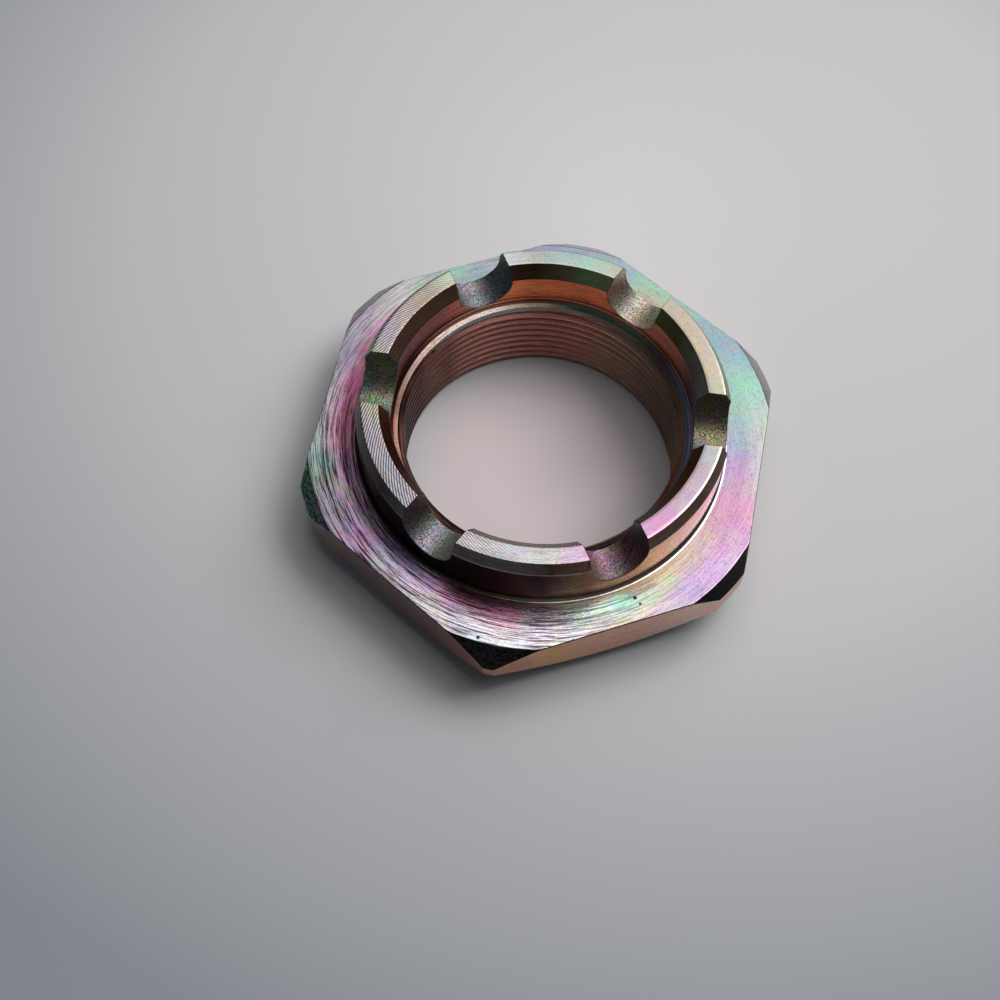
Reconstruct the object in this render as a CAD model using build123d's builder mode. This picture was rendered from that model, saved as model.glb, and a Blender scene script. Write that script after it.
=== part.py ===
from build123d import *
from math import radians, sqrt, tan
import os

# Castle nut for a fine metric thread: a low hexagon with a turned collar above
# it, and six round-bottomed slots across the collar for a split pin or a lock
# washer's tabs. +Z is up, away from the bearing face. The origin is on the
# thread's axis at the bearing face. All sizes are in millimetres and degrees.

# Hexagon
across_flats = 65.0
body_height = 10.9            # bearing face to the hexagon's upper face
corner_trim = 1.5             # taken off each sharp corner in turning
front_corner_trim = 0.4       # the one corner that was turned back less
front_corner_turn = -120.0    # its place from the first corner, about +Z
top_chamfer_reach = 1.7       # on the upper corners, in from their turned edge
top_chamfer_angle = 40.0      # from the upper face
bearing_inset = 4.3           # bearing face's rim, in from the flats
bottom_chamfer_angle = 36.0   # from the bearing face

# Collar
collar_height = 9.7           # above the hexagon's upper face
land_width = 2.5              # flat ring on top of the collar
rim_chamfer_reach = 0.9       # outer edge of the land
rim_chamfer_drop = 1.6
mouth_chamfer_reach = 1.5     # inner edge of the land
mouth_chamfer_drop = 1.9
collar_root_radius = 0.5      # fillet where the collar meets the hexagon

# Bore
thread_diameter = 42.0
thread_pitch = 1.5
counterbore_gap = 1.0         # counterbore's wall, outside the thread's roots
counterbore_depth = 7.05      # below the land, to the foot of its wall
counterbore_root_radius = 0.85  # fillet at the foot of the counterbore's wall
floor_angle = 25.0            # counterbore's coned floor, below level
entry_angle = 45.0            # chamfer from the thread's roots to its crests
exit_chamfer = 0.8            # at the bearing face, 45 degrees

# Slots
slot_count = 6
slot_width = 8.4
slot_depth = 6.4              # below the land, to the bottom of the round
hexagon_turn = -4.3           # hexagon about +Z, out of line with the slots

# Sizes that follow
bore_radius = thread_diameter / 2 - 5 * sqrt(3) / 16 * thread_pitch
counterbore_radius = thread_diameter / 2 + counterbore_gap
land_inner_radius = counterbore_radius + mouth_chamfer_reach
land_outer_radius = land_inner_radius + land_width
collar_radius = land_outer_radius + rim_chamfer_reach
sharp_corner = across_flats / sqrt(3)
corner_radius = sharp_corner - corner_trim
largest_radius = sharp_corner - front_corner_trim
face_radius = corner_radius - top_chamfer_reach
bearing_radius = across_flats / 2 - bearing_inset
nut_height = body_height + collar_height
top_chamfer_drop = (largest_radius - face_radius) * tan(radians(top_chamfer_angle))
bottom_chamfer_rise = (largest_radius - bearing_radius) * tan(radians(bottom_chamfer_angle))
counterbore_floor = nut_height - counterbore_depth
entry_radius = thread_diameter / 2
entry_top = counterbore_floor - counterbore_gap * tan(radians(floor_angle))
entry_drop = (entry_radius - bore_radius) * tan(radians(entry_angle))
slot_centre = nut_height - slot_depth + slot_width / 2
flat_foot = (across_flats * sqrt(3) / 4, across_flats / 4)

os.makedirs("parts", exist_ok=True)

# One pass of the slot cutter: a round-bottomed groove along Y, open at the top,
# long enough to cross both walls of the collar.
with BuildPart() as slot_cutter:
    with BuildSketch(Plane.XZ) as slot_section:
        with Locations((0, slot_centre)):
            Circle(slot_width / 2)
            Rectangle(slot_width, slot_depth, align=(Align.CENTER, Align.MIN))
    extrude(amount=collar_radius * 2, both=True)

with BuildPart() as castle_nut:
    # Everything turned about the axis, from the bearing face up the outside,
    # over the collar and down the bore.
    with BuildSketch(Plane.XZ) as turned_section:
        with BuildLine():
            Polyline(
                (bore_radius + exit_chamfer, 0),
                (bearing_radius, 0),
                (largest_radius, bottom_chamfer_rise),
                (largest_radius, body_height - top_chamfer_drop),
                (face_radius, body_height),
                (collar_radius, body_height),
                (collar_radius, nut_height - rim_chamfer_drop),
                (land_outer_radius, nut_height),
                (land_inner_radius, nut_height),
                (counterbore_radius, nut_height - mouth_chamfer_drop),
                (counterbore_radius, counterbore_floor),
                (entry_radius, entry_top),
                (bore_radius, entry_top - entry_drop),
                (bore_radius, exit_chamfer),
                close=True,
            )
        make_face()
        collar_root = turned_section.vertices().sort_by_distance((collar_radius, body_height))[0]
        fillet(collar_root, radius=collar_root_radius)
        wall_foot = turned_section.vertices().sort_by_distance((counterbore_radius, counterbore_floor))[0]
        fillet(wall_foot, radius=counterbore_root_radius)
    revolve(axis=Axis.Z)

    # Six flats, milled to size, and their corners turned back. The collar is
    # inside them. The kite puts the front corner back.
    with BuildSketch(Plane.XY) as hexagon:
        RegularPolygon(across_flats / 2, side_count=6, major_radius=False, rotation=hexagon_turn)
        Circle(corner_radius, mode=Mode.INTERSECT)
        with PolarLocations(0, 1, start_angle=hexagon_turn + front_corner_turn):
            Polygon((0, 0), flat_foot, (sharp_corner, 0), (flat_foot[0], -flat_foot[1]), align=None)
    extrude(amount=nut_height, mode=Mode.INTERSECT)

    # Each pass cuts two opposite slots.
    with PolarLocations(0, slot_count // 2, angular_range=180):
        add(slot_cutter.part, mode=Mode.SUBTRACT)

castle_nut.part.label = "castle_nut"
export_step(castle_nut.part, "parts/castle_nut.step")
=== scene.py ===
from math import acos, atan2, cos, degrees, pi, radians, sin, sqrt, tan
from types import SimpleNamespace

import bmesh
import bpy
import numpy as np
from mathutils import Matrix, Vector


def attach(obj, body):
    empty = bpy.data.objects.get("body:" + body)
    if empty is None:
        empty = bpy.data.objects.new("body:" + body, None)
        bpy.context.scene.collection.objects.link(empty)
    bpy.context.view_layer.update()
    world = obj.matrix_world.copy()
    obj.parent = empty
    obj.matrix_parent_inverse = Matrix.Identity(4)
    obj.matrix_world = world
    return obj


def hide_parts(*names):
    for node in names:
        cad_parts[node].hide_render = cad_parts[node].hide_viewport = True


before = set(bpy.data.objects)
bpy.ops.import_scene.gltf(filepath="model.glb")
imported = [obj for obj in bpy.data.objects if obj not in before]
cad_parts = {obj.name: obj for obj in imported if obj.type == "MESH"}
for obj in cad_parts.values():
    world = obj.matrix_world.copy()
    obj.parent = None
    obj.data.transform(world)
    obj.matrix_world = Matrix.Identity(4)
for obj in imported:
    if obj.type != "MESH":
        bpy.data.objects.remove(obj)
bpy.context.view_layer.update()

# ---------------------------------------------------------------------------
# Sizes, in millimetres and degrees, as in the part's source
# ---------------------------------------------------------------------------

MM = 0.001

ACROSS_FLATS = 65.0
BODY_HEIGHT = 10.9
CORNER_TRIM = 1.5
FRONT_CORNER_TRIM = 0.4
FRONT_CORNER = 4              # of the corners at 0, 60, 120, 180, 240 and 300 degrees
TOP_CHAMFER_REACH = 1.7
TOP_CHAMFER_ANGLE = 40.0
BEARING_INSET = 4.3
BOTTOM_CHAMFER_ANGLE = 36.0

COLLAR_HEIGHT = 9.7
LAND_WIDTH = 2.5
RIM_CHAMFER_REACH = 0.9
RIM_CHAMFER_DROP = 1.6
MOUTH_CHAMFER_REACH = 1.5
MOUTH_CHAMFER_DROP = 1.9
COLLAR_ROOT_RADIUS = 0.5

THREAD_DIAMETER = 42.0
THREAD_PITCH = 1.5
COUNTERBORE_GAP = 1.0
COUNTERBORE_DEPTH = 7.05
COUNTERBORE_ROOT_RADIUS = 0.85
FLOOR_ANGLE = 25.0
ENTRY_ANGLE = 45.0
EXIT_CHAMFER = 0.8

SLOT_WIDTH = 8.4
SLOT_DEPTH = 6.4
HEXAGON_TURN = -4.3

EDGE = 0.1                    # how far each edge is broken
SOFT_EDGE = 1.2 * EDGE        # the same, on the hexagon's upper edges
BEND = 0.04                   # share of the hexagon's upper chamfer that bends into each of its edges

APOTHEM = ACROSS_FLATS / 2
BORE_RADIUS = THREAD_DIAMETER / 2 - 5 * sqrt(3) / 16 * THREAD_PITCH
COUNTERBORE_RADIUS = THREAD_DIAMETER / 2 + COUNTERBORE_GAP
LAND_INNER_RADIUS = COUNTERBORE_RADIUS + MOUTH_CHAMFER_REACH
LAND_OUTER_RADIUS = LAND_INNER_RADIUS + LAND_WIDTH
COLLAR_RADIUS = LAND_OUTER_RADIUS + RIM_CHAMFER_REACH
SIXTHS = 6                    # teeth, slots and flats
CORNER_RADII = [ACROSS_FLATS / sqrt(3) - CORNER_TRIM] * SIXTHS
CORNER_RADII[FRONT_CORNER] = ACROSS_FLATS / sqrt(3) - FRONT_CORNER_TRIM
FACE_RADIUS = CORNER_RADII[0] - TOP_CHAMFER_REACH
BEARING_RADIUS = APOTHEM - BEARING_INSET
NUT_HEIGHT = BODY_HEIGHT + COLLAR_HEIGHT
COUNTERBORE_FLOOR = NUT_HEIGHT - COUNTERBORE_DEPTH
ENTRY_RADIUS = THREAD_DIAMETER / 2
ENTRY_TOP = COUNTERBORE_FLOOR - COUNTERBORE_GAP * tan(radians(FLOOR_ANGLE))
ENTRY_SLOPE = tan(radians(ENTRY_ANGLE))
ENTRY_FOOT = ENTRY_TOP - (ENTRY_RADIUS - BORE_RADIUS) * ENTRY_SLOPE
SLOT_RADIUS = SLOT_WIDTH / 2
SLOT_CENTRE = NUT_HEIGHT - SLOT_DEPTH + SLOT_RADIUS

# How finely the skin is divided
TOOTH_COLUMNS = 40            # columns of points round each sixth of the collar
LAND_ROWS = 6
ROUND_ROWS = 9                # rows up each side of a slot's round bottom
BEND_ROW = ROUND_ROWS + 3     # the row of a tooth's wall where its chamfer starts
ROOT_STEPS = 5                # of the fillet at the collar's root
FOOT_STEPS = 4                # and of the one at the foot of the counterbore's wall
FLAT_COLUMNS = 31             # from the middle of a flat to its corner
CORNER_COLUMNS = 5            # and on to the middle of the corner
CORNER_GAP = 0.15             # degrees left free on each side of where they meet
MERGE = 1e-7                  # metres within which two points are one
SMOOTH_ANGLE = 38.0           # degrees up to which faces meet smoothly

FINISHES = ["face", "flat", "cone", "root", "wall", "edge", "rim", "land", "mouth", "bore", "foot", "ring",
            "entry", "thread", "slot", "under"]

# ---------------------------------------------------------------------------
# Skin: points and faces with a finish for each face
# ---------------------------------------------------------------------------


class Skin:
    """A closed surface, built up from rows of points."""

    def __init__(self):
        self.points, self.faces, self.finish_of = [], [], []

    def add(self, points):
        """Adds points, an array (..., 3) in millimetres, and returns their numbers in the same shape."""
        points = np.asarray(points, float)
        first = len(self.points)
        self.points.extend(points.reshape(-1, 3).tolist())
        return np.arange(first, len(self.points)).reshape(points.shape[:-1])

    def face(self, finish, corners):
        """Adds a face, less any corner that repeats."""
        ring = list(dict.fromkeys(int(c) for c in corners))
        if len(ring) > 2:
            self.faces.append(ring)
            self.finish_of.append(FINISHES.index(finish))

    def strip(self, finish, low, high):
        """Joins two rows of as many points with quads."""
        for a, b, c, d in zip(low[:-1], low[1:], high[1:], high[:-1]):
            self.face(finish, (a, b, c, d))

    def sixths(self, finish, low, high):
        """Joins two rows that run round the part in sixths."""
        for a, b in zip(low, high):
            self.strip(finish, a, b)

    def zipper(self, finish, outer, inner):
        """Fills the flat space between two closed loops, given in order round +Z."""
        def turn(i):
            x, y, _ = self.points[i]
            return atan2(y, x) % (2 * pi)

        outer, inner = sorted(outer, key=turn), sorted(inner, key=turn)
        i = j = 0
        while i < len(outer) or j < len(inner):
            a, b = outer[i % len(outer)], inner[j % len(inner)]
            next_a, next_b = outer[(i + 1) % len(outer)], inner[(j + 1) % len(inner)]
            turn_a = turn(next_a) + (2 * pi if i + 1 >= len(outer) else 0)
            turn_b = turn(next_b) + (2 * pi if j + 1 >= len(inner) else 0)
            if j >= len(inner) or (i < len(outer) and turn_a <= turn_b):
                self.face(finish, (a, next_a, b))
                i += 1
            else:
                self.face(finish, (a, next_b, b))
                j += 1

    def mesh(self, name, finishes):
        """The skin as one mesh, without repeated points."""
        mesh = bpy.data.meshes.new(name)
        mesh.from_pydata([[c * MM for c in p] for p in self.points], [], self.faces)
        for material in finishes:
            mesh.materials.append(material)
        mesh.polygons.foreach_set("material_index", self.finish_of)
        work = bmesh.new()
        work.from_mesh(mesh)
        bmesh.ops.remove_doubles(work, verts=work.verts, dist=MERGE)
        bmesh.ops.dissolve_degenerate(work, edges=work.edges, dist=MERGE)
        bmesh.ops.recalc_face_normals(work, faces=work.faces)
        work.to_mesh(mesh)
        work.free()
        return mesh


def polar(radius, turn, height):
    """Points at a radius, a turn in radians and a height, which may be arrays."""
    radius, turn, height = np.broadcast_arrays(radius, turn, height)
    return np.stack([radius * np.cos(turn), radius * np.sin(turn), height], axis=-1)


def rounded(before, corner, after, radius, steps=2):
    """The points of a small arc that rounds a corner of a section."""
    before, corner, after = map(np.array, (before, corner, after))
    a = (before - corner) / np.linalg.norm(before - corner)
    b = (after - corner) / np.linalg.norm(after - corner)
    half = acos(np.clip(a @ b, -1, 1)) / 2
    reach = radius / tan(half)
    start, end = corner + a * reach, corner + b * reach
    middle = corner + (a + b) / np.linalg.norm(a + b) * radius / sin(half)
    sweep = []
    for k in range(steps + 1):
        way = (start - middle) * (1 - k / steps) + (end - middle) * (k / steps)
        sweep.append(tuple(middle + way / np.linalg.norm(way) * radius))
    return sweep


# ---------------------------------------------------------------------------
# Collar: six teeth with a slot between each two
# ---------------------------------------------------------------------------


def sixth_turns(half):
    """Turns of the points across each of six teeth, whose half angle is given."""
    across = np.linspace(-1, 1, TOOTH_COLUMNS + 1)
    centres = np.radians(360 / SIXTHS * np.arange(SIXTHS))
    return centres[:, None] + across[None, :] * half


def full_row(skin, radius, height):
    """A row of points all the way round, in sixths that share their ends."""
    turns = sixth_turns(radians(30))[:, :-1]
    points = skin.add(polar(radius, turns, height))
    return np.concatenate([points, np.roll(points[:, :1], -1, axis=0)], axis=1)


def tooth_row(skin, radius, height, half_slot):
    """A row of points across each tooth, up to its slots."""
    return skin.add(polar(radius, sixth_turns(radians(30) - np.arcsin(half_slot / radius)), height))


def slot_steps():
    """How far sideways and up from its centre the slot's round bottom reaches, as shares of its radius."""
    lift = np.radians(np.linspace(0, 90, ROUND_ROWS + 1))
    return np.sin(lift), -np.cos(lift)


def side_of_tooth(radius, chamfer_low, land_edge, land_side):
    """(radius, height, half slot) up one wall of a tooth, from the slot's bottom to the land. The slot is
    widened by its broken edge."""
    wide = SLOT_RADIUS + EDGE
    sines, cosines = slot_steps()
    rows = [(radius, SLOT_CENTRE + wide * c, wide * s) for s, c in zip(sines, cosines)]
    low, top = (radius, chamfer_low), (land_edge, NUT_HEIGHT)
    bends = rounded((radius, SLOT_CENTRE), low, top, 3 * EDGE)
    bends += rounded(low, top, (land_side, NUT_HEIGHT), EDGE)
    middle = (SLOT_CENTRE + bends[0][1]) / 2
    return rows + [(radius, middle, wide)] + [(r, z, wide) for r, z in bends]


def slot_skin(skin, turn, outside, inside, across):
    """The slot's wall and floor, a ruled surface along its length. Returns the numbers of its points."""
    sines, cosines = slot_steps()
    grow = (NUT_HEIGHT - EDGE - SLOT_CENTRE) / (NUT_HEIGHT - SLOT_CENTRE)
    rows = []
    for j, ((r_out, z_out, _), (r_in, z_in, _)) in enumerate(zip(outside, inside)):
        if j <= ROUND_ROWS:
            side = SLOT_RADIUS * sines[j]
            heights = [SLOT_CENTRE + SLOT_RADIUS * cosines[j]] * 2
        else:
            side = SLOT_RADIUS
            heights = [SLOT_CENTRE + (z - SLOT_CENTRE) * grow for z in (z_out, z_in)]
        far, near = sqrt(r_out ** 2 - side ** 2) - EDGE, sqrt(r_in ** 2 - side ** 2) + EDGE
        low, high = heights
        rows.append([(side, far + (near - far) * v, low + (high - low) * v) for v in across])
    rows = np.array(rows)
    left = rows[:0:-1] * (-1, 1, 1)
    sheet = np.concatenate([left, rows])
    side, along, height = sheet[..., 0], sheet[..., 1], sheet[..., 2]
    x = along * cos(turn) - side * sin(turn)
    y = along * sin(turn) + side * cos(turn)
    return skin.add(np.stack([x, y, height], axis=-1))


def round_rows(skin, row, finish, bends):
    """Carries a row on through (radius, height) of further rows all the way round, and returns the last."""
    for radius, height in bends:
        following = full_row(skin, radius, height)
        skin.sixths(finish, row, following)
        row = following
    return row


def collar_outside(skin, outside):
    """From the hexagon's face up the outside. Returns the lowest row and the rows up the teeth."""
    root = rounded((COLLAR_RADIUS + 1, BODY_HEIGHT), (COLLAR_RADIUS, BODY_HEIGHT),
                   (COLLAR_RADIUS, BODY_HEIGHT + 1), COLLAR_ROOT_RADIUS, steps=ROOT_STEPS)
    toe = full_row(skin, *root[0])
    row = round_rows(skin, toe, "root", root[1:])
    middle = (root[-1][1] + outside[0][1]) / 2
    rows = [round_rows(skin, row, "wall", [(COLLAR_RADIUS, middle), outside[0][:2]])]
    for j, place in enumerate(outside[1:], 1):
        above = tooth_row(skin, *place)
        finish = "wall" if j <= ROUND_ROWS + 1 else "edge" if j <= BEND_ROW else "rim"
        skin.sixths(finish, rows[-1], above)
        rows.append(above)
    return toe, rows


def collar_land(skin, row, across, r_out, r_in):
    """From the last row of the outside, across the land. Returns its rows."""
    rows = [row]
    for share in across[1:]:
        following = tooth_row(skin, r_out + (r_in - r_out) * share, NUT_HEIGHT, SLOT_RADIUS + EDGE)
        skin.sixths("land", rows[-1], following)
        rows.append(following)
    return rows


def collar_inside(skin, row, inside):
    """From the land down the counterbore's wall. Returns its rows, from the lowest."""
    rows = [row]
    for j in range(len(inside) - 2, 0, -1):
        below = tooth_row(skin, *inside[j])
        skin.sixths("mouth" if j >= BEND_ROW else "bore", rows[-1], below)
        rows.append(below)
    rows.append(round_rows(skin, rows[-1], "bore", [inside[0][:2]]))
    return rows[::-1]


def collar_slot(skin, k, outside, inside, outer_rows, inner_rows, land_rows, across):
    """One slot, joined to the teeth on both sides by their broken edges."""
    last = len(outside) - 1
    sheet = slot_skin(skin, radians(60 * k + 30), outside, inside, across)
    for low, high in zip(sheet[:-1], sheet[1:]):
        skin.strip("slot", low, high)
    for tooth, end, sign in ((k, -1, -1), ((k + 1) % SIXTHS, 0, 1)):
        rows = [last + sign * j for j in range(last + 1)]
        skin.strip("slot", [row[tooth, end] for row in outer_rows], sheet[rows, 0])
        skin.strip("slot", [row[tooth, end] for row in inner_rows], sheet[rows, -1])
        skin.strip("slot", [row[tooth, end] for row in land_rows], sheet[rows[-1]])


def collar_skin(skin):
    """The collar from the hexagon's face, over the land and down to the thread's chamfer. Returns the
    rows at its two ends and the height of the second."""
    outside = side_of_tooth(COLLAR_RADIUS, NUT_HEIGHT - RIM_CHAMFER_DROP, LAND_OUTER_RADIUS,
                            LAND_INNER_RADIUS)
    inside = side_of_tooth(COUNTERBORE_RADIUS, NUT_HEIGHT - MOUTH_CHAMFER_DROP, LAND_INNER_RADIUS,
                           LAND_OUTER_RADIUS)
    across = np.linspace(0, 1, LAND_ROWS + 1)
    toe, outer_rows = collar_outside(skin, outside)
    land_rows = collar_land(skin, outer_rows[-1], across, outside[-1][0], inside[-1][0])
    inner_rows = collar_inside(skin, land_rows[-1], inside)

    wall_top = (COUNTERBORE_RADIUS, NUT_HEIGHT)
    wall_foot = (COUNTERBORE_RADIUS, COUNTERBORE_FLOOR)
    entry_top = (ENTRY_RADIUS, ENTRY_TOP)
    foot = rounded(wall_top, wall_foot, entry_top, COUNTERBORE_ROOT_RADIUS, steps=FOOT_STEPS)
    lip = rounded(wall_foot, entry_top, (BORE_RADIUS, ENTRY_FOOT), EDGE)
    row = inner_rows[0]
    for finish, bends in (("bore", foot[:1]), ("foot", foot[1:]), ("ring", lip[:1]), ("entry", lip[1:])):
        row = round_rows(skin, row, finish, bends)
    for k in range(SIXTHS):
        collar_slot(skin, k, outside, inside, outer_rows, inner_rows, land_rows, across)
    return toe, row, lip[-1][1]


# ---------------------------------------------------------------------------
# Bore: entry cone, right-hand thread and exit chamfer
# ---------------------------------------------------------------------------

# Points of one turn of the thread's section, as shares of the pitch, from the middle of its crest
THREAD_STEPS = np.array([0.0, 0.095, 0.125, 0.17, 0.24, 0.31, 0.38, 0.4375, 0.48, 0.52, 0.5625, 0.62, 0.69,
                         0.76, 0.83, 0.875, 0.905])
THREAD_START = 0.36           # share of a pitch that the thread is turned on by
HALF_CREST = 0.125            # share of the pitch, as the metric profile has it
FLANK = 0.3125                # and from the crest's edge to the root's
EDGE_CATCH = 0.05             # a point this near the height of an edge is moved onto it
HAIR = 0.01                   # a point this near an end of the bore, in height, belongs to that end
SLIVER = 0.001                # how far the entry cone may be inside the thread and still be the skin


def thread_radius(share):
    """The wall's radius at a share of the pitch from the middle of a crest."""
    away = np.abs((share + 0.5) % 1.0 - 0.5)
    depth = THREAD_DIAMETER / 2 - BORE_RADIUS
    flank = np.clip((away - HALF_CREST) / FLANK, 0, 1)
    return BORE_RADIUS + depth * flank


def bore_skin(skin, mouth_row, mouth_height):
    """The bore from the thread's chamfer down to the bearing face. Returns the loop at the bearing face."""
    columns = SIXTHS * TOOTH_COLUMNS
    mouth = mouth_row[:, :-1].reshape(-1)
    turns = sixth_turns(radians(30))[:, :-1].reshape(-1)
    foot = skin.add(polar(BORE_RADIUS + EXIT_CHAMFER, turns, 0.0))

    per_turn = len(THREAD_STEPS)
    turns_up = int(COUNTERBORE_FLOOR / THREAD_PITCH) + 3
    shares = (np.arange(-1, turns_up)[:, None] + THREAD_STEPS[None, :]).reshape(-1)
    rise = np.arange(columns) / columns
    height = (shares[:, None] + rise[None, :] + THREAD_START - 1) * THREAD_PITCH
    for edge_height in (EXIT_CHAMFER, ENTRY_FOOT):
        height[np.abs(height - edge_height) < EDGE_CATCH] = edge_height
    thread = thread_radius(np.broadcast_to(shares[:, None], height.shape))
    entry = BORE_RADIUS + (height - ENTRY_FOOT) / ENTRY_SLOPE
    radius = np.maximum(np.maximum(thread, entry), BORE_RADIUS + EXIT_CHAMFER - height)
    inner = (height > HAIR) & (height < mouth_height - HAIR)
    numbers = np.where(height <= HAIR, foot[None, :], mouth[None, :])
    numbers[inner] = skin.add(polar(radius, turns[None, :], height)[inner])

    # one turn on, a row has climbed by one pitch
    closing = np.concatenate([numbers[per_turn:, :1], np.broadcast_to(mouth[0], (per_turn, 1))])
    rows = np.concatenate([numbers, closing], axis=1)
    on_entry = (height >= ENTRY_FOOT) & (entry >= thread - SLIVER)
    on_entry = np.concatenate([on_entry, on_entry[:, -1:]], axis=1)
    for i, (low, high) in enumerate(zip(rows[:-1], rows[1:])):
        for j in range(columns):
            finish = "entry" if on_entry[i:i + 2, j:j + 2].all() else "thread"
            skin.face(finish, (low[j], low[j + 1], high[j + 1], high[j]))
    return foot


# ---------------------------------------------------------------------------
# Hexagon
# ---------------------------------------------------------------------------


def half_flat(corner_radius):
    """Turns, from the middle of a flat to the middle of a corner, and the outline's radius at each."""
    corner = degrees(acos(APOTHEM / corner_radius))
    along_flat = np.linspace(0, corner - CORNER_GAP, FLAT_COLUMNS)
    along_corner = np.linspace(corner + CORNER_GAP, 30, CORNER_COLUMNS)
    turns = np.radians(np.concatenate([along_flat, along_corner]))
    return turns, np.minimum(APOTHEM / np.cos(turns), corner_radius)


def hexagon_outline():
    """Turns and radii of the columns round the hexagon, from the first corner."""
    turns, reach = [], []
    for k in range(SIXTHS):
        middle = radians(60 * k + 30 + HEXAGON_TURN)
        before, reach_before = half_flat(CORNER_RADII[k])
        after, reach_after = half_flat(CORNER_RADII[(k + 1) % SIXTHS])
        turns += [middle - before[:0:-1], middle + after[:-1]]
        reach += [reach_before[:0:-1], reach_after[:-1]]
    return np.concatenate(turns), np.concatenate(reach)


def hexagon_skin(skin, toe, foot):
    """The bearing face, the six flats with their chamfers, and the upper face up to the collar's toe."""
    turns, reach = hexagon_outline()
    under_slope, over_slope = tan(radians(BOTTOM_CHAMFER_ANGLE)), tan(radians(TOP_CHAMFER_ANGLE))
    under = (reach - BEARING_RADIUS) * under_slope
    over = BODY_HEIGHT - np.maximum((reach - FACE_RADIUS) * over_slope, SOFT_EDGE)
    brim = np.minimum(reach - SOFT_EDGE, FACE_RADIUS)
    sections = [
        ("under", BEARING_RADIUS - 2 * EDGE, 0.0),
        ("cone", BEARING_RADIUS + EDGE, EDGE / 2),
        ("cone", reach - EDGE, under - EDGE * under_slope),
        ("flat", reach, under + EDGE),
        ("flat", reach, over - EDGE / 2),
        ("cone", reach - (reach - brim) * BEND, over + (BODY_HEIGHT - over) * BEND),
        ("cone", brim + (reach - brim) * BEND, BODY_HEIGHT - (BODY_HEIGHT - over) * BEND),
        ("face", brim - EDGE, BODY_HEIGHT),
    ]
    row = None
    for finish, radius, height in sections:
        above = skin.add(polar(radius, turns, height))
        above = np.append(above, above[0])
        if row is None:
            skin.zipper("under", above[:-1], foot)
        else:
            skin.strip(finish, row, above)
        row = above
    skin.zipper("face", row[:-1], toe[:, :-1].reshape(-1))


# ---------------------------------------------------------------------------
# Finishes: zinc plating whose yellow chromate turns mint, blue, lavender and pink
# ---------------------------------------------------------------------------


def linear(colour):
    """A colour written as (0-255) screen values, as the shader's linear values."""
    shares = [c / 255 for c in colour]
    return tuple(c / 12.92 if c <= 0.04045 else ((c + 0.055) / 1.055) ** 2.4 for c in shares)


class Tree:
    """A material's node tree, filled with one call for each node."""

    def __init__(self, name):
        self.material = bpy.data.materials.new(name)
        self.material.use_nodes = True
        self.tree = self.material.node_tree
        self.shader = self.tree.nodes["Principled BSDF"]

    def node(self, kind, inputs=(), **settings):
        """Adds a node, gives it its settings and inputs (links or values), and returns it."""
        node = self.tree.nodes.new("ShaderNode" + kind)
        for key, value in settings.items():
            setattr(node, key, value)
        for key, value in dict(inputs).items():
            self.set(node.inputs[key], value)
        return node

    def set(self, socket, value):
        """Links an output to a socket, or gives the socket a value."""
        if isinstance(value, bpy.types.NodeSocket):
            self.tree.links.new(value, socket)
        else:
            socket.default_value = value

    def math(self, operation, a, b=0.0, c=0.0):
        """The result of one step of arithmetic."""
        return self.node("Math", {0: a, 1: b, 2: c}, operation=operation).outputs[0]

    def noise(self, vector, scale, detail=2.0, roughness=0.5):
        """Noise from 0 to 1, around 0.5."""
        settings = {"Vector": vector, "Scale": scale, "Detail": detail, "Roughness": roughness}
        return self.node("TexNoise", settings).outputs["Fac"]

    def drawn_out(self, across, heading, fineness, turns):
        """Noise in lines: how fine they are across, and how often they change along."""
        apart = self.node("SeparateXYZ", {0: heading}).outputs
        x, y = (self.math("MULTIPLY", apart[k], turns / (2 * pi)) for k in (0, 1))
        place = self.node("CombineXYZ", {0: self.math("MULTIPLY", across, fineness), 1: x, 2: y}).outputs[0]
        return self.noise(place, 1.0, 3.0, MARK_RAGGEDNESS)

    def ramp(self, share, stops):
        """A colour ramp; stops are (place 0-1, linear colour)."""
        node = self.node("ValToRGB", {"Fac": share})
        band = node.color_ramp
        band.elements[0].position, band.elements[0].color = stops[0][0], (*stops[0][1], 1)
        band.elements[1].position, band.elements[1].color = stops[-1][0], (*stops[-1][1], 1)
        for place, colour in stops[1:-1]:
            band.elements.new(place).color = (*colour, 1)
        return node.outputs["Color"]

    def span(self, share, low, high, to_low=0.0, to_high=1.0):
        """Maps low..high to to_low..to_high, held at the ends."""
        ends = {"From Min": low, "From Max": high, "To Min": to_low, "To Max": to_high}
        return self.node("MapRange", {"Value": share, **ends}).outputs["Result"]

    def blend(self, share, a, b):
        """The number a where the share is 0, b where it is 1."""
        return self.math("MULTIPLY_ADD", share, self.math("SUBTRACT", b, a), a)

    def mix(self, share, a, b, blend="MIX"):
        """Two colours mixed. The node's inputs 0, 6 and 7 and its output 2 are those for colours."""
        node = self.node("Mix", data_type="RGBA", blend_type=blend)
        self.set(node.inputs[0], share)
        for key, colour in ((6, a), (7, b)):
            self.set(node.inputs[key], colour if isinstance(colour, bpy.types.NodeSocket) else (*colour, 1))
        return node.outputs[2]

    def places(self):
        """The point in millimetres, its radius, turn (0-1, from -180 to 180 degrees) and height."""
        here = self.node("TexCoord").outputs["Object"]
        scaled = self.node("VectorMath", {0: here, 1: (1 / MM,) * 3}, operation="MULTIPLY").outputs[0]
        x, y, z = self.node("SeparateXYZ", {0: scaled}).outputs
        x_squared, y_squared = self.math("MULTIPLY", x, x), self.math("MULTIPLY", y, y)
        radius = self.math("SQRT", self.math("ADD", x_squared, y_squared))
        turn = self.math("MULTIPLY_ADD", self.math("ARCTAN2", y, x), 0.5 / pi, 0.5)
        return scaled, radius, turn, z


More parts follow.
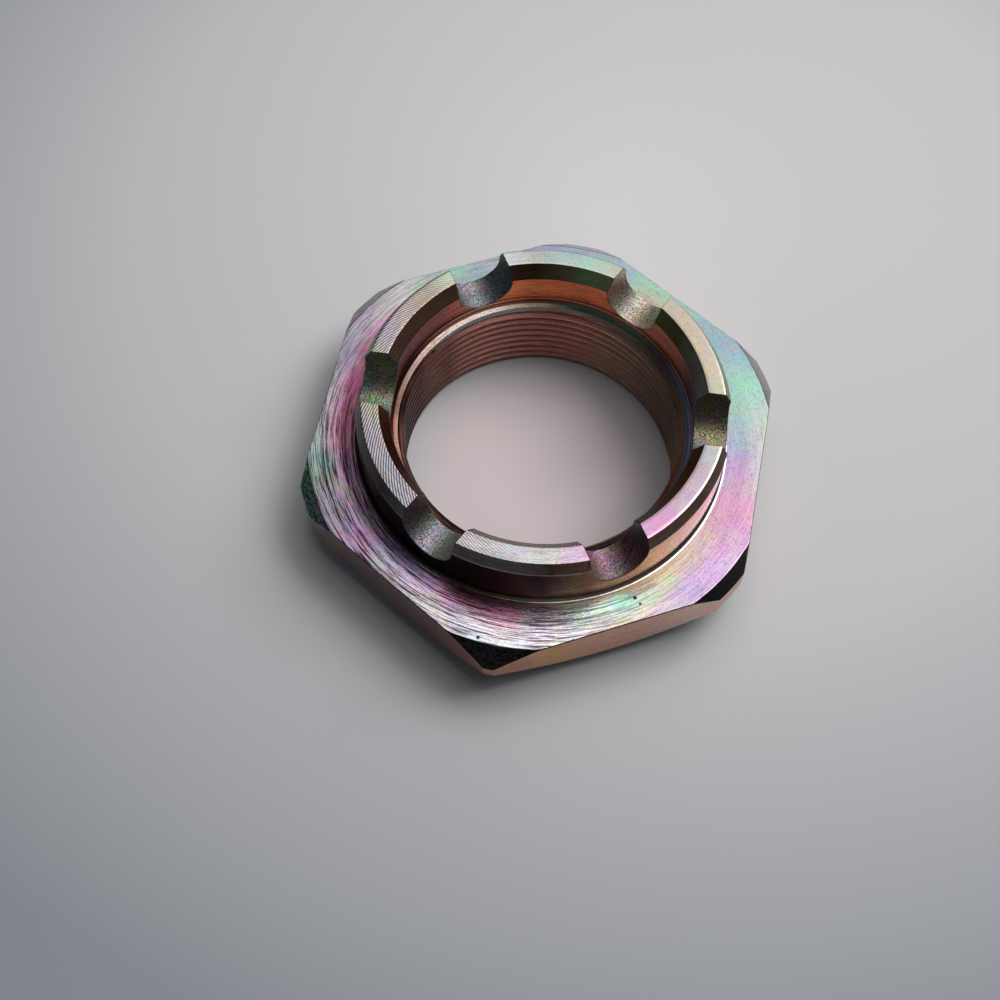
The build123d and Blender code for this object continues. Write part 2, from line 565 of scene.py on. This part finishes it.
# The palette, as (0-255) screen values
MINT = (182, 236, 208)
PALE_BLUE = (180, 210, 230)
LAVENDER = (206, 184, 230)
PINK = (244, 176, 218)
ROSE = (222, 104, 150)
CREAM = (230, 216, 184)
LIME = (204, 222, 160)
WHITE = (228, 226, 228)
GREY = (170, 168, 168)
SLATE = (110, 116, 140)
SAND = (220, 180, 160)
BLUSH = (236, 210, 206)
DUSK = (188, 140, 150)
PEACH = (222, 166, 140)
TAN = (190, 150, 125)
RUST = (190, 125, 112)
MAUVE = (168, 130, 160)
TEAL = (84, 140, 120)
OLIVE = (122, 124, 76)
MOSS = (92, 112, 74)
GOLD = (220, 160, 88)
ORANGE = (226, 124, 58)
COPPER = (210, 116, 84)
MAROON = (150, 84, 76)
BROWN = (104, 72, 56)
INK = (32, 32, 34)


RAINBOW = [MINT, PALE_BLUE, LAVENDER, PINK, CREAM, LIME]
MARK_TINT = (96, 74, 98)
GRAIN_TINT = (150, 170, 150)

# Colours round the axis, in equal steps of 20 degrees from -180: partly the film's own colours, partly
# painted reflections of the surroundings, dark where these are dark and pale where a lamp is reflected
FACE_INNER = [MAUVE, LAVENDER, ROSE, GREY, MINT, CREAM, PINK, LAVENDER, MINT, MINT, CREAM, MINT,
              WHITE, PALE_BLUE, PINK, ROSE, ROSE, MAUVE]
FACE_OUTER = [MAUVE, WHITE, WHITE, WHITE, CREAM, LAVENDER, PINK, WHITE, MINT, PALE_BLUE, MINT,
              PALE_BLUE, LAVENDER, MINT, WHITE, LAVENDER, WHITE, TEAL]
LAND_COLOURS = [WHITE, WHITE, WHITE, WHITE, PINK, PINK, WHITE, LIME, CREAM, CREAM, CREAM, MINT,
                WHITE, MINT, CREAM, WHITE, LIME, WHITE]
FLAT_COLOURS = [BROWN, BROWN, MAROON, GOLD, PEACH, SAND, COPPER, PEACH, TAN, TAN, COPPER, TAN, TAN,
                COPPER, MAROON, BROWN, BROWN, BROWN]
CONE_COLOURS = [SLATE, GREY, GREY, BROWN, BROWN, GREY, TAN, GREY, WHITE, WHITE, WHITE, WHITE, WHITE,
                WHITE, WHITE, WHITE, TEAL, TEAL]
WALL_COLOURS = [INK, INK, BROWN, BROWN, COPPER, PEACH, PEACH, COPPER, COPPER, COPPER, BROWN, BROWN,
                BROWN, BROWN, MAROON, MAROON, MAUVE, GREY]
RIM_COLOURS = [GREY, BROWN, GREY, BROWN, TAN, TAN, BROWN, BROWN, GREY, GREY, GREY, GREY, GREY, GREY,
               BROWN, BROWN, GREY, GREY]
MOUTH_COLOURS = [BROWN, BROWN, BROWN, BROWN, BROWN, OLIVE, OLIVE, GREY, GREY, OLIVE, OLIVE, MOSS,
                 BROWN, BROWN, BROWN, BROWN, BROWN, BROWN]
BORE_COLOURS = [BROWN, MAROON, BROWN, BROWN, INK, INK, SLATE, SLATE, BROWN, COPPER, COPPER, ORANGE,
                ORANGE, COPPER, MAROON, MAROON, MAROON, BROWN]
FOOT_COLOURS = [RUST, MAROON, BROWN, BROWN, INK, INK, SLATE, SLATE, SLATE, TAN, TAN, TAN, COPPER,
                PEACH, PEACH, TAN, MAROON, RUST]
RING_COLOURS = [PEACH, PEACH, PEACH, MAROON, GREY, SLATE, SLATE, SLATE, SLATE, SLATE, TEAL, TEAL,
                CREAM, BLUSH, BLUSH, BLUSH, PEACH, PEACH]
ENTRY_COLOURS = [RUST, RUST, RUST, TAN, TAN, TAN, TAN, TAN, TAN, TAN, TAN, SAND, SAND, SAND, SAND,
                 RUST, RUST, RUST]
THREAD_COLOURS = [RUST, RUST, RUST, TAN, TAN, TAN, TAN, TAN, TAN, TAN, TAN, RUST, RUST, RUST, RUST,
                  RUST, RUST, RUST]
SLOT_FLOORS = [BROWN, GREY, WHITE, DUSK, DUSK, BROWN, CREAM, OLIVE, OLIVE, MINT, CREAM, BROWN, TEAL,
               GREY, WHITE, MOSS, MOSS, WHITE]
SLOT_WALLS = [BROWN, BROWN, GREY, DUSK, BROWN, BROWN, LIME, OLIVE, OLIVE, MINT, CREAM, COPPER, TEAL,
              TEAL, GREY, MOSS, MOSS, LIME]

# Painted light and shade, in the same steps: how much brighter or darker each finish is painted than its
# colours, standing in for highlights, reflections and shadows
FACE_PAINTED_SHADING = [1.6, 1.3, 1.75, 1.65, 1.15, 0.75, 0.7, 0.71, 0.79, 0.77, 0.98, 1.1, 1.05, 1.15, 1.4,
             1.02, 1.24, 1.65]
# Near the collar's foot, times the face's levels: painted shadow of the collar below 1, painted light above
# 1
FACE_NEAR_PAINTED_SHADING = [0.24, 0.45, 0.8, 2.2, 1.0, 1.0, 1.05, 1.1, 0.95, 1.0, 0.75, 1.0, 1.0, 1.1, 0.6,
                  0.9, 0.4, 0.26]
LAND_PAINTED_SHADING = [1.15, 1.35, 1.3, 1.12, 1.05, 0.9, 0.76, 0.9, 0.9, 0.87, 0.93, 1.17, 1.0, 1.95, 1.2,
             1.4, 1.45, 1.3]
CONE_PAINTED_SHADING = [2.4, 0.4, 0.3, 0.6, 0.8, 0.35, 1.0, 1.3, 1.2, 1.2, 1.2, 1.3, 1.2, 1.0, 0.9, 0.9, 1.1,
             2.3]
WALL_PAINTED_SHADING = [0.2, 0.8, 1.2, 2.4, 2.2, 0.75, 0.3, 0.6, 1.0, 1.0, 1.0, 1.0, 1.0, 1.0, 1.0, 0.8, 0.5,
             0.25]
RIM_PAINTED_SHADING = [0.14, 1.0, 0.6, 1.0, 0.6, 0.4, 0.8, 1.0, 0.6, 1.0, 1.0, 1.0, 1.0, 1.0, 1.0, 1.0, 0.3,
            0.22]
MOUTH_PAINTED_SHADING = [1.0, 1.0, 1.0, 1.0, 1.0, 1.0, 1.0, 1.0, 1.0, 0.85, 1.3, 2.8, 0.75, 1.9, 2.7, 3.1, 3.6,
              1.2]
BORE_PAINTED_SHADING = [0.8, 0.6, 0.6, 0.6, 0.8, 1.0, 1.5, 4.0, 2.9, 1.6, 1.6, 1.3, 1.5, 3.0, 2.0, 2.6, 3.4,
             1.6]
FOOT_PAINTED_SHADING = [3.0, 0.8, 0.6, 0.6, 0.8, 1.2, 2.2, 4.5, 1.8, 0.42, 1.0, 0.9, 0.95, 2.8, 2.6, 0.4, 0.55,
             3.0]
RING_PAINTED_SHADING = [1.4, 0.6, 0.8, 1.0, 1.2, 1.2, 2.4, 2.6, 1.75, 0.8, 1.5, 1.4, 1.2, 1.7, 0.55, 0.22, 0.2,
             1.2]
ENTRY_PAINTED_SHADING = [0.5, 0.3, 0.3, 0.4, 0.8, 1.2, 2.3, 1.6, 0.9, 0.5, 1.2, 1.75, 2.1, 6.5, 5.0, 1.2, 0.22,
              0.25]
THREAD_PAINTED_SHADING = [0.8, 0.2, 0.3, 0.6, 1.2, 1.8, 2.0, 1.45, 0.9, 1.35, 2.15, 2.9, 2.0, 1.3, 0.24, 0.06,
               0.04, 0.5]
SLOT_FLOOR_PAINTED_SHADING = [0.6, 1.0, 2.0, 2.4, 0.7, 0.6, 2.0, 1.3, 0.8, 1.9, 1.1, 0.9, 0.3, 1.0, 2.4, 1.0,
                   1.5, 2.6]
SLOT_WALL_PAINTED_SHADING = [0.9, 1.2, 1.5, 1.3, 0.9, 0.9, 1.4, 1.0, 0.9, 1.6, 0.9, 0.9, 0.6, 0.8, 1.3, 1.3,
                  1.5, 1.6]
# Painted highlight along the collar's root where high, painted shade where low
ROOT_PAINTED_SHADING = [0.05, 0.05, 0.15, 0.9, 1.0, 1.0, 1.0, 0.9, 0.6, 0.4, 0.3, 0.2, 0.2, 0.2, 0.1, 0.1,
             0.05, 0.05]
# Painted highlight on the broken edge between the collar's wall and its rim chamfer
EDGE_PAINTED_SHADING = [0.5, 0.8, 1.0, 0.8, 0.7, 0.5, 0.3, 0.5, 0.8, 0.8, 0.8, 0.8, 0.8, 0.8, 0.8, 0.8, 0.6,
             0.5]

# How strongly the turning marks and the land's feed lines show, in the same steps
LIVELY = [1.0, 1.0, 1.0, 1.0, 0.6, 0.25, 0.15, 0.15, 0.15, 0.15, 0.2, 0.2, 0.25, 0.25, 0.35, 0.6,
          0.9, 1.0]
FEED_STRENGTH = [1.0, 1.0, 0.5, 0.0, 0.0, 0.0, 0.0, 0.0, 0.0, 0.0, 0.0, 0.0, 0.0, 0.0, 0.6, 0.9,
                 1.0, 1.0]

# Where one list of colours or levels gives way to another, in millimetres
FACE_RADII = (29.5, 32.0)
NEAR_RADII = (28.8, 30.2)     # from the collar's foot out to where the face's painted shade of the collar ends and it is at its full level
SLOT_HEIGHTS = (15.3, 17.0)

# Patterns. Scales are in changes for each millimetre, and spans are of noise or of a sine.
CLOUD_SCALE = 0.17
CLOUD_TURN = 0.08             # how far the colours drift round in the clouds, in turns
CLOUD_REACH = 3.0             # and how far across them, in millimetres
FILM_SCALE = 0.24
FILM_REPEATS = 3.0            # how often the rainbow runs through in the film's patches
FINE_MARKS = (9.0, 55.0)      # turning marks: lines across each millimetre, changes along each turn
BROAD_MARKS = (3.0, 9.0)
MARK_RAGGEDNESS = 0.68        # roughness of the marks' noise
FINE_SHARE = 0.58             # of the fine marks in the two together
MARK_SPAN = (0.475, 0.55)     # from no mark to a full one
FEED_LINES = 2.5              # slanted feed lines on the land, across each millimetre of radius
FEED_SLANT = 190.0            # and how many of them a turn crosses
FEED_SPAN = (-0.3, 0.6)       # from a feed line's ridge to its groove
FLECK_SPAN = (0.3, 0.7)       # from the darkest fleck to the brightest
GRAIN_SPAN = (0.5, 0.7)       # from no grain to full grain
FLECK_LIFT = 0.5              # the flecks' share of the relief, beside the marks
WEAR_SPAN = (0.3, 0.7)        # of the marks, from the smoothest to the roughest
SMOOTHEST, ROUGHEST = 0.8, 1.25   # times a finish's roughness
NICK_CORE = 0.5               # share of a nick's size that is fully dark

# Small nicks in the upper face: x, y and size in millimetres
NICKS = [(-20.8, -26.6, 0.35), (-8.9, -31.9, 0.25), (1.7, -29.3, 0.35), (2.0, -30.4, 0.25)]

# What a finish is like unless its plan says otherwise. Colours, painted light and shade, and lively are
# lists by turn.
PLAIN = dict(
    outer=None,               # colours at the outer radius or the upper height, beside those at the inner
    radii=None,               # from the inner colours to the outer
    heights=None,             # the same, where they change with height
    # painted light and shade round the axis, as levels
    glow=[1.0, 1.0],
    outer_glow=None,          # painted light and shade that go with the outer colours
    near_glow=None,           # painted shadow and light near the collar's foot, times the others
    light=0.5,                # share of the light that white plating returns
    patches=0.2,              # share of the film's rainbow patches
    marks=0.4,                # share of the turning marks' tint
    level_marks=False,        # marks run level along a flat, not round the axis
    lively=None,              # strength of marks, sparkle and relief
    feed=0.0,                 # share of the feed lines' tint
    flecks=2.6,               # fineness of grain and sparkle, for each millimetre
    grain=0.3,                # share of the grain's tint
    sparkle=0.2,              # how far flecks lift and lower the level
    nicks=(),
    roughness=0.24,
    relief=0.02,              # height of marks and grain, in millimetres
    spread=0.5,               # how far highlights are drawn out across the marks
)


def closed(stops):
    """Ramp stops with the last running back into the first."""
    seam = tuple((a + b) / 2 for a, b in zip(stops[0][1], stops[-1][1]))
    return [(0.0, seam)] + stops + [(1.0, seam)]


def even_stops(colours):
    """Closed ramp stops for colours in equal steps."""
    return closed([((k + 0.5) / len(colours), linear(c)) for k, c in enumerate(colours)])


class Plating(Tree):
    """A finish of the plating. Its colours run round the axis, from those of the inner radius (or lower
    height) to those of the outer, and drift in clouds. Turning marks, grain and sparkle break them up. Its
    levels round the axis are painted light and shade."""

    def __init__(self, name, **plan):
        super().__init__("plated_" + name)
        self.look = SimpleNamespace(**{**PLAIN, **plan})
        self.point, self.radius, self.turn, self.height = self.places()
        self.cloud = self.noise(self.point, CLOUD_SCALE, 3.0)
        self.fleck = self.noise(self.point, self.look.flecks, 1.0)
        self.strength = self.by_turn(self.look.lively) if self.look.lively else 1.0
        self.cut = self.turning_marks()
        self.dress(self.marked_and_shaded(*self.film()))

    def by_turn(self, values):
        """A number that changes round the axis, from values in equal steps of turn."""
        most = max(values)
        stops = closed([((k + 0.5) / len(values), (v / most,) * 3) for k, v in enumerate(values)])
        return self.math("MULTIPLY", self.ramp(self.turn, stops), most)

    def level(self, glow):
        """How much light the plating is painted to return round the axis: painted light and shade times its
        reflectance.
        """
        return self.math("MULTIPLY", self.by_turn(glow), self.look.light)

    def film(self):
        """The plating's colour and its painted level of light and shade, without marks."""
        look = self.look
        drift = self.math("MULTIPLY_ADD", self.cloud, CLOUD_TURN, -CLOUD_TURN / 2)
        turn = self.math("FRACT", self.math("ADD", self.turn, drift))
        colour = self.ramp(turn, even_stops(look.inner))
        level = self.level(look.glow)
        if look.outer:
            way = self.math("SUBTRACT", self.height if look.heights else self.radius, CLOUD_REACH / 2)
            drifted = self.math("MULTIPLY_ADD", self.cloud, CLOUD_REACH, way)
            share = self.span(drifted, *(look.heights or look.radii))
            colour = self.mix(share, colour, self.ramp(turn, even_stops(look.outer)))
            if look.outer_glow:
                level = self.blend(share, level, self.level(look.outer_glow))
        if look.near_glow:
            near = self.span(self.radius, *NEAR_RADII, 1.0, 0.0)
            level = self.blend(near, level, self.math("MULTIPLY", level, self.by_turn(look.near_glow)))
        bands = self.math("FRACT", self.math("MULTIPLY", self.noise(self.point, FILM_SCALE), FILM_REPEATS))
        return self.mix(look.patches, colour, self.ramp(bands, even_stops(RAINBOW))), level

    def turning_marks(self):
        """Fine and broad noise, drawn out round the axis or level along a flat."""
        across = self.height if self.look.level_marks else self.math("ADD", self.radius, self.height)
        one_over = self.math("DIVIDE", 1.0, self.radius)
        heading = self.node("VectorMath", {0: self.point, 3: one_over}, operation="SCALE").outputs[0]
        fine = self.drawn_out(across, heading, *FINE_MARKS)
        broad = self.drawn_out(across, heading, *BROAD_MARKS)
        return self.math("MULTIPLY_ADD", broad, 1 - FINE_SHARE, self.math("MULTIPLY", fine, FINE_SHARE))

    def feed_lines(self):
        """How dark the land is in its slanted feed lines."""
        unwound = self.math("MULTIPLY", self.turn, -FEED_SLANT)
        slant = self.math("MULTIPLY_ADD", self.radius, FEED_LINES, unwound)
        stripe = self.span(self.math("SINE", self.math("MULTIPLY", slant, 2 * pi)), *FEED_SPAN)
        strong = self.math("MULTIPLY", self.by_turn(FEED_STRENGTH), self.look.feed)
        return self.math("MULTIPLY", stripe, strong)

    def marked_and_shaded(self, colour, level):
        """The colour at its painted level of light and shade, with marks, feed lines, sparkle, grain and
        nicks.
        """
        look = self.look
        depth = self.math("MULTIPLY", self.strength, look.marks)
        dark = self.math("MULTIPLY", self.span(self.cut, *MARK_SPAN), depth)
        colour = self.mix(dark, colour, linear(MARK_TINT), "MULTIPLY")
        if look.feed:
            colour = self.mix(self.feed_lines(), colour, linear(MARK_TINT), "MULTIPLY")
        swing = self.math("MULTIPLY", self.strength, look.sparkle)
        speck = self.math("MULTIPLY", self.span(self.fleck, *FLECK_SPAN, -1.0, 1.0), swing)
        level = self.math("MULTIPLY_ADD", level, speck, level)
        grain = self.span(self.fleck, *GRAIN_SPAN, 0.0, look.grain)
        colour = self.mix(grain, colour, linear(GRAIN_TINT), "MULTIPLY")
        for x, y, size in look.nicks:
            nick = {0: self.point, 1: (x, y, BODY_HEIGHT)}
            apart = self.node("VectorMath", nick, operation="DISTANCE").outputs["Value"]
            dark = self.span(apart, size * NICK_CORE, size, 1.0, 0.0)
            colour = self.mix(dark, colour, linear(INK), "MULTIPLY")
        return self.node("VectorMath", {0: colour, 3: level}, operation="SCALE").outputs[0]

    def dress(self, colour):
        """Gives the shader its colour, roughness, relief and drawn-out highlights."""
        look, inputs = self.look, self.shader.inputs
        lift = self.math("MULTIPLY_ADD", self.fleck, FLECK_LIFT, self.cut)
        lift = self.math("MULTIPLY", lift, self.strength)
        bump = self.node("Bump", {"Height": lift, "Distance": look.relief * MM})
        smooth, rough = look.roughness * SMOOTHEST, look.roughness * ROUGHEST
        self.set(inputs["Base Color"], colour)
        self.set(inputs["Roughness"], self.span(self.cut, *WEAR_SPAN, smooth, rough))
        self.set(inputs["Normal"], bump.outputs[0])
        inputs["Metallic"].default_value = 1.0
        if look.spread:
            inputs["Anisotropic"].default_value = look.spread
            self.set(inputs["Tangent"], self.node("Tangent", direction_type="RADIAL", axis="Z").outputs[0])


def finishes():
    """The materials of all finishes, in the order of FINISHES."""
    # Each finish's levels round the axis are painted light and shade
    plan = {
        "face": dict(inner=FACE_INNER, outer=FACE_OUTER, radii=FACE_RADII, marks=1.0, lively=LIVELY,
                     glow=FACE_PAINTED_SHADING, near_glow=FACE_NEAR_PAINTED_SHADING, grain=0.4, nicks=NICKS),
        "flat": dict(inner=FLAT_COLOURS, level_marks=True, patches=0.15, marks=0.16, grain=0.5, sparkle=0.3,
                     roughness=0.32, relief=0.03, spread=0, light=1.1),
        "cone": dict(inner=CONE_COLOURS, glow=CONE_PAINTED_SHADING, lively=LIVELY, patches=0.1, marks=0.6, sparkle=0.8),
        # The collar's root: a painted highlight line, bright only at some turns
        "root": dict(inner=[CREAM, WHITE, CREAM], marks=0.2, glow=ROOT_PAINTED_SHADING, light=0.8, roughness=0.18),
        "wall": dict(inner=WALL_COLOURS, patches=0.03, glow=WALL_PAINTED_SHADING, roughness=0.2, relief=0.012,
                     light=0.7),
        # The broken edge of the collar's rim: a painted highlight line
        "edge": dict(inner=[WHITE, CREAM, WHITE], marks=0.2, glow=EDGE_PAINTED_SHADING, light=0.9),
        "rim": dict(inner=RIM_COLOURS, patches=0.02, marks=0.3, glow=RIM_PAINTED_SHADING, light=0.8),
        "land": dict(inner=LAND_COLOURS, lively=LIVELY, glow=LAND_PAINTED_SHADING, feed=0.9),
        "mouth": dict(inner=MOUTH_COLOURS, patches=0.03, marks=0.3, glow=MOUTH_PAINTED_SHADING, light=1.0),
        "bore": dict(inner=BORE_COLOURS, patches=0.05, marks=0.5, glow=BORE_PAINTED_SHADING, light=0.7),
        "foot": dict(inner=FOOT_COLOURS, patches=0.05, marks=0.2, glow=FOOT_PAINTED_SHADING, light=0.7),
        "ring": dict(inner=RING_COLOURS, patches=0.05, marks=0.2, glow=RING_PAINTED_SHADING),
        "entry": dict(inner=ENTRY_COLOURS, patches=0.05, marks=0.3, glow=ENTRY_PAINTED_SHADING, light=0.7),
        "thread": dict(inner=THREAD_COLOURS, patches=0.05, marks=0.3, glow=THREAD_PAINTED_SHADING, roughness=0.3,
                       relief=0.01),
        "slot": dict(inner=SLOT_FLOORS, outer=SLOT_WALLS, heights=SLOT_HEIGHTS, patches=0.25, marks=0.2,
                     glow=SLOT_FLOOR_PAINTED_SHADING, outer_glow=SLOT_WALL_PAINTED_SHADING, flecks=5.0, grain=0.35, sparkle=0.9,
                     roughness=0.45, relief=0.1, spread=0),
        "under": dict(inner=[WHITE, CREAM, LAVENDER, WHITE, MINT, PINK], marks=0.5, roughness=0.35),
    }
    return [Plating(name, **plan[name]).material for name in FINISHES]


# ---------------------------------------------------------------------------
# The nut
# ---------------------------------------------------------------------------


def make_nut():
    """The whole nut, as one object."""
    skin = Skin()
    toe, mouth, mouth_height = collar_skin(skin)
    foot = bore_skin(skin, mouth, mouth_height)
    hexagon_skin(skin, toe, foot)
    mesh = skin.mesh("nut", finishes())
    mesh.shade_smooth()
    mesh.set_sharp_from_angle(angle=radians(SMOOTH_ANGLE))
    nut = bpy.data.objects.new("nut", mesh)
    bpy.context.scene.collection.objects.link(nut)
    weigh = nut.modifiers.new("weighted_normals", "WEIGHTED_NORMAL")
    weigh.keep_sharp = True
    return nut


# ---------------------------------------------------------------------------
# Floor, light and camera
# ---------------------------------------------------------------------------

# Painted light on the floor: palest at a point behind the part and on its right, and painted darker away
# from it
PAINTED_LIGHT_POINT = (0.029, 0.04)
FLOOR_PAINTED_SHADES = [(0.0, (207, 205, 207)), (0.28, (196, 195, 196)), (0.57, (188, 187, 189)),
                (0.86, (158, 160, 165)), (1.0, (138, 141, 148))]
FLOOR_REACH = 0.14            # metres from the painted light's point to the last painted shade
FLOOR_SIDE = 3.0              # metres from its middle to each side
FLOOR_ROUGHNESS = 0.7
BORE_PAINTED_LIGHT_LEFT = (1.14, 0.99, 1.0)   # painted light thrown by the bore's copper-coloured wall on the floor inside it, on the left
# painted shade on the floor inside the bore, on the right
BORE_PAINTED_SHADE_RIGHT = (0.82, 0.72, 0.74)
BORE_PAINTED_SIDES_X = (-0.006, 0.018)        # where the painted light on the left gives way to the painted shade on the right, in metres
BORE_PAINTED_RADII = (0.014, 0.0205)    # where the painted light and shade fade out under the nut


def make_floor():
    """A wide floor at the bearing face, with painted light and shade on it."""
    mesh = bpy.data.meshes.new("floor")
    corners = [(FLOOR_SIDE * x, FLOOR_SIDE * y, 0) for x, y in ((-1, -1), (1, -1), (1, 1), (-1, 1))]
    mesh.from_pydata(corners, [], [(0, 1, 2, 3)])
    t = Tree("floor")
    here = t.node("TexCoord").outputs["Object"]
    away = t.node("VectorMath", {0: here, 1: (*PAINTED_LIGHT_POINT, 0.0)}, operation="DISTANCE").outputs["Value"]
    share = t.span(away, 0.0, FLOOR_REACH)
    painted_shade = t.ramp(share, [(place, linear(c)) for place, c in FLOOR_PAINTED_SHADES])
    centre = t.node("VectorMath", {0: here}, operation="LENGTH").outputs["Value"]
    # Painted light and shade on the floor inside the bore
    rightward = t.span(t.node("SeparateXYZ", {0: here}).outputs["X"], *BORE_PAINTED_SIDES_X)
    bore_painted_light_and_shade = t.mix(rightward, BORE_PAINTED_LIGHT_LEFT, BORE_PAINTED_SHADE_RIGHT)
    painted_shade = t.mix(t.span(centre, *BORE_PAINTED_RADII, 1.0, 0.0), painted_shade, bore_painted_light_and_shade, "MULTIPLY")
    t.set(t.shader.inputs["Base Color"], painted_shade)
    t.shader.inputs["Roughness"].default_value = FLOOR_ROUGHNESS
    mesh.materials.append(t.material)
    floor = bpy.data.objects.new("floor", mesh)
    bpy.context.scene.collection.objects.link(floor)
    return floor


# Lamps: azimuth, elevation, distance and side in metres, and radiance
WINDOW = (25.0, 62.0, 0.9, 1.2, 1.3)
LAMP = (5.0, 54.0, 0.9, 0.55, 5.0)
SKY_COLOUR = (0.9, 0.95, 1.0)
SKY_STRENGTH = 0.1


def softbox(name, azimuth, elevation, distance, side, radiance):
    """A square lamp that faces the part from an azimuth and elevation in degrees."""
    lamp = bpy.data.lights.new(name, "AREA")
    lamp.shape = "RECTANGLE"
    lamp.size, lamp.size_y = side, side
    lamp.energy = radiance * pi * side * side
    light = bpy.data.objects.new(name, lamp)
    a, e = radians(azimuth), radians(elevation)
    place = Vector((cos(e) * cos(a), cos(e) * sin(a), sin(e))) * distance
    light.location = place
    light.rotation_euler = place.to_track_quat("Z", "Y").to_euler()
    bpy.context.scene.collection.objects.link(light)


def make_light():
    """Two lamps on the right and a faint sky."""
    softbox("window", *WINDOW)
    softbox("lamp", *LAMP)
    world = bpy.data.worlds.new("world")
    world.use_nodes = True
    sky = world.node_tree.nodes["Background"].inputs
    sky["Color"].default_value = (*SKY_COLOUR, 1)
    sky["Strength"].default_value = SKY_STRENGTH
    bpy.context.scene.world = world


# The camera, in degrees and millimetres, as fitted to the photograph
CAMERA_AZIMUTH = -24.673      # from the view along +Y
CAMERA_ELEVATION = 62.261
CAMERA_ROLL = 2.491
CAMERA_DISTANCE = 212.4       # from the collar's top, along the view
CAMERA_PAN = (6.232, 14.401)  # the collar's centre, right of and above the view's centre
CAMERA_LENS = 54.0
SENSOR_WIDTH = 36.0
CLIP_START = 0.01             # metres


def make_camera():
    """The photograph's viewpoint."""
    azimuth, elevation, roll = map(radians, (CAMERA_AZIMUTH, CAMERA_ELEVATION, CAMERA_ROLL))
    back = Vector((sin(azimuth) * cos(elevation), -cos(azimuth) * cos(elevation), sin(elevation)))
    level = Vector((cos(azimuth), sin(azimuth), 0))
    upright = back.cross(level)
    right = cos(roll) * level + sin(roll) * upright
    up = cos(roll) * upright - sin(roll) * level
    top = Vector((0, 0, NUT_HEIGHT))
    place = back * CAMERA_DISTANCE - right * CAMERA_PAN[0] - up * CAMERA_PAN[1] + top
    data = bpy.data.cameras.new("camera")
    data.lens = CAMERA_LENS
    data.sensor_width = SENSOR_WIDTH
    data.clip_start = CLIP_START
    camera = bpy.data.objects.new("camera", data)
    turn = Matrix((right, up, back)).transposed()
    camera.matrix_world = Matrix.Translation(place * MM) @ turn.to_4x4()
    bpy.context.scene.collection.objects.link(camera)
    bpy.context.scene.camera = camera


# ---------------------------------------------------------------------------
# Scene
# ---------------------------------------------------------------------------

nut = make_nut()
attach(nut, "root")
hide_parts("castle_nut")
make_floor()
make_light()
make_camera()

bpy.context.scene.view_settings.view_transform = "Standard"
